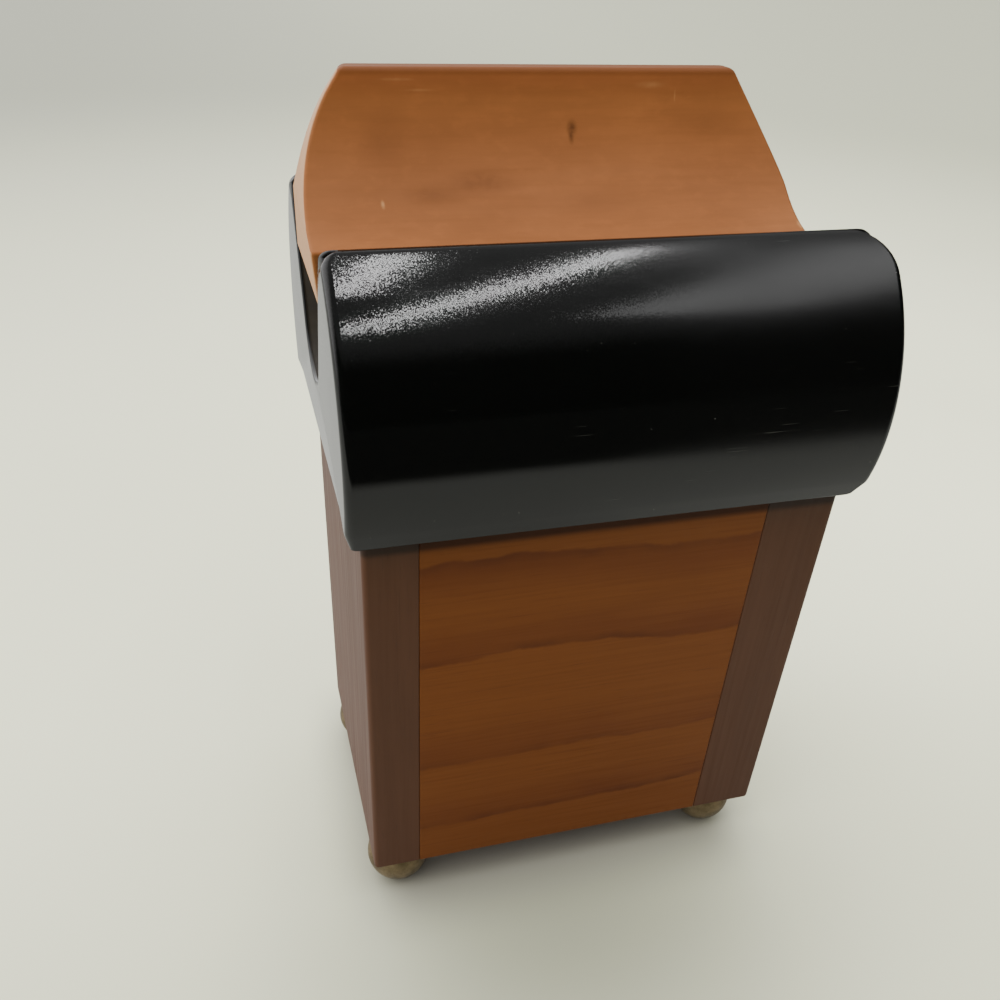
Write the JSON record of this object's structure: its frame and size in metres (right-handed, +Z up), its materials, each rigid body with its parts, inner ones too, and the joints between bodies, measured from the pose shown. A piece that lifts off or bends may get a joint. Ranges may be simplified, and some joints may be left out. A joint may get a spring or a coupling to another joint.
{
  "type": "lacquer box",
  "caption": "Small upright wooden keepsake box on ball feet, with a lift-off round lid in black lacquer and a loose wooden crown that lies in the groove of the lid.",
  "frame": {"origin": "on the surface that the feet stand on, under the middle of the box", "axes": "+Z up, front towards -Y, +X to the right as seen from the front"},
  "size_m": [0.1062, 0.0816, 0.1813],
  "materials": {
    "side_wood": "satin, plain dark wood",
    "panel_wood": "satin, wavy horizontal grain",
    "floor_wood": "bare",
    "lacquered_wood": "black gloss lacquer",
    "plug_wood": "bare",
    "crown_wood": "matt, faint grain",
    "foot_brass": "aged",
    "stud_brass": "plain"
  },
  "bodies": {
    "box": {"left_side": "side_wood", "right_side": "side_wood", "front_panel": "panel_wood", "back_panel": "panel_wood", "floor_board": "floor_wood", "foot_front_left": "foot_brass", "foot_front_right": "foot_brass", "foot_back_left": "foot_brass", "foot_back_right": "foot_brass", "foot_studs": "stud_brass"},
    "lid": {"lid_saddle": "lacquered_wood", "lid_plug": "plug_wood"},
    "crown": {"crown": "crown_wood"}
  },
  "joints": [
    {"name": "lid_lift", "type": "slide", "parent": "box", "child": "lid", "axis": [0, 0, 1], "range_m": [0, 0.06]},
    {"name": "crown_slide", "type": "slide", "parent": "lid", "child": "crown", "axis": [1, 0, 0], "range_m": [0, 0.016]}
  ]
}
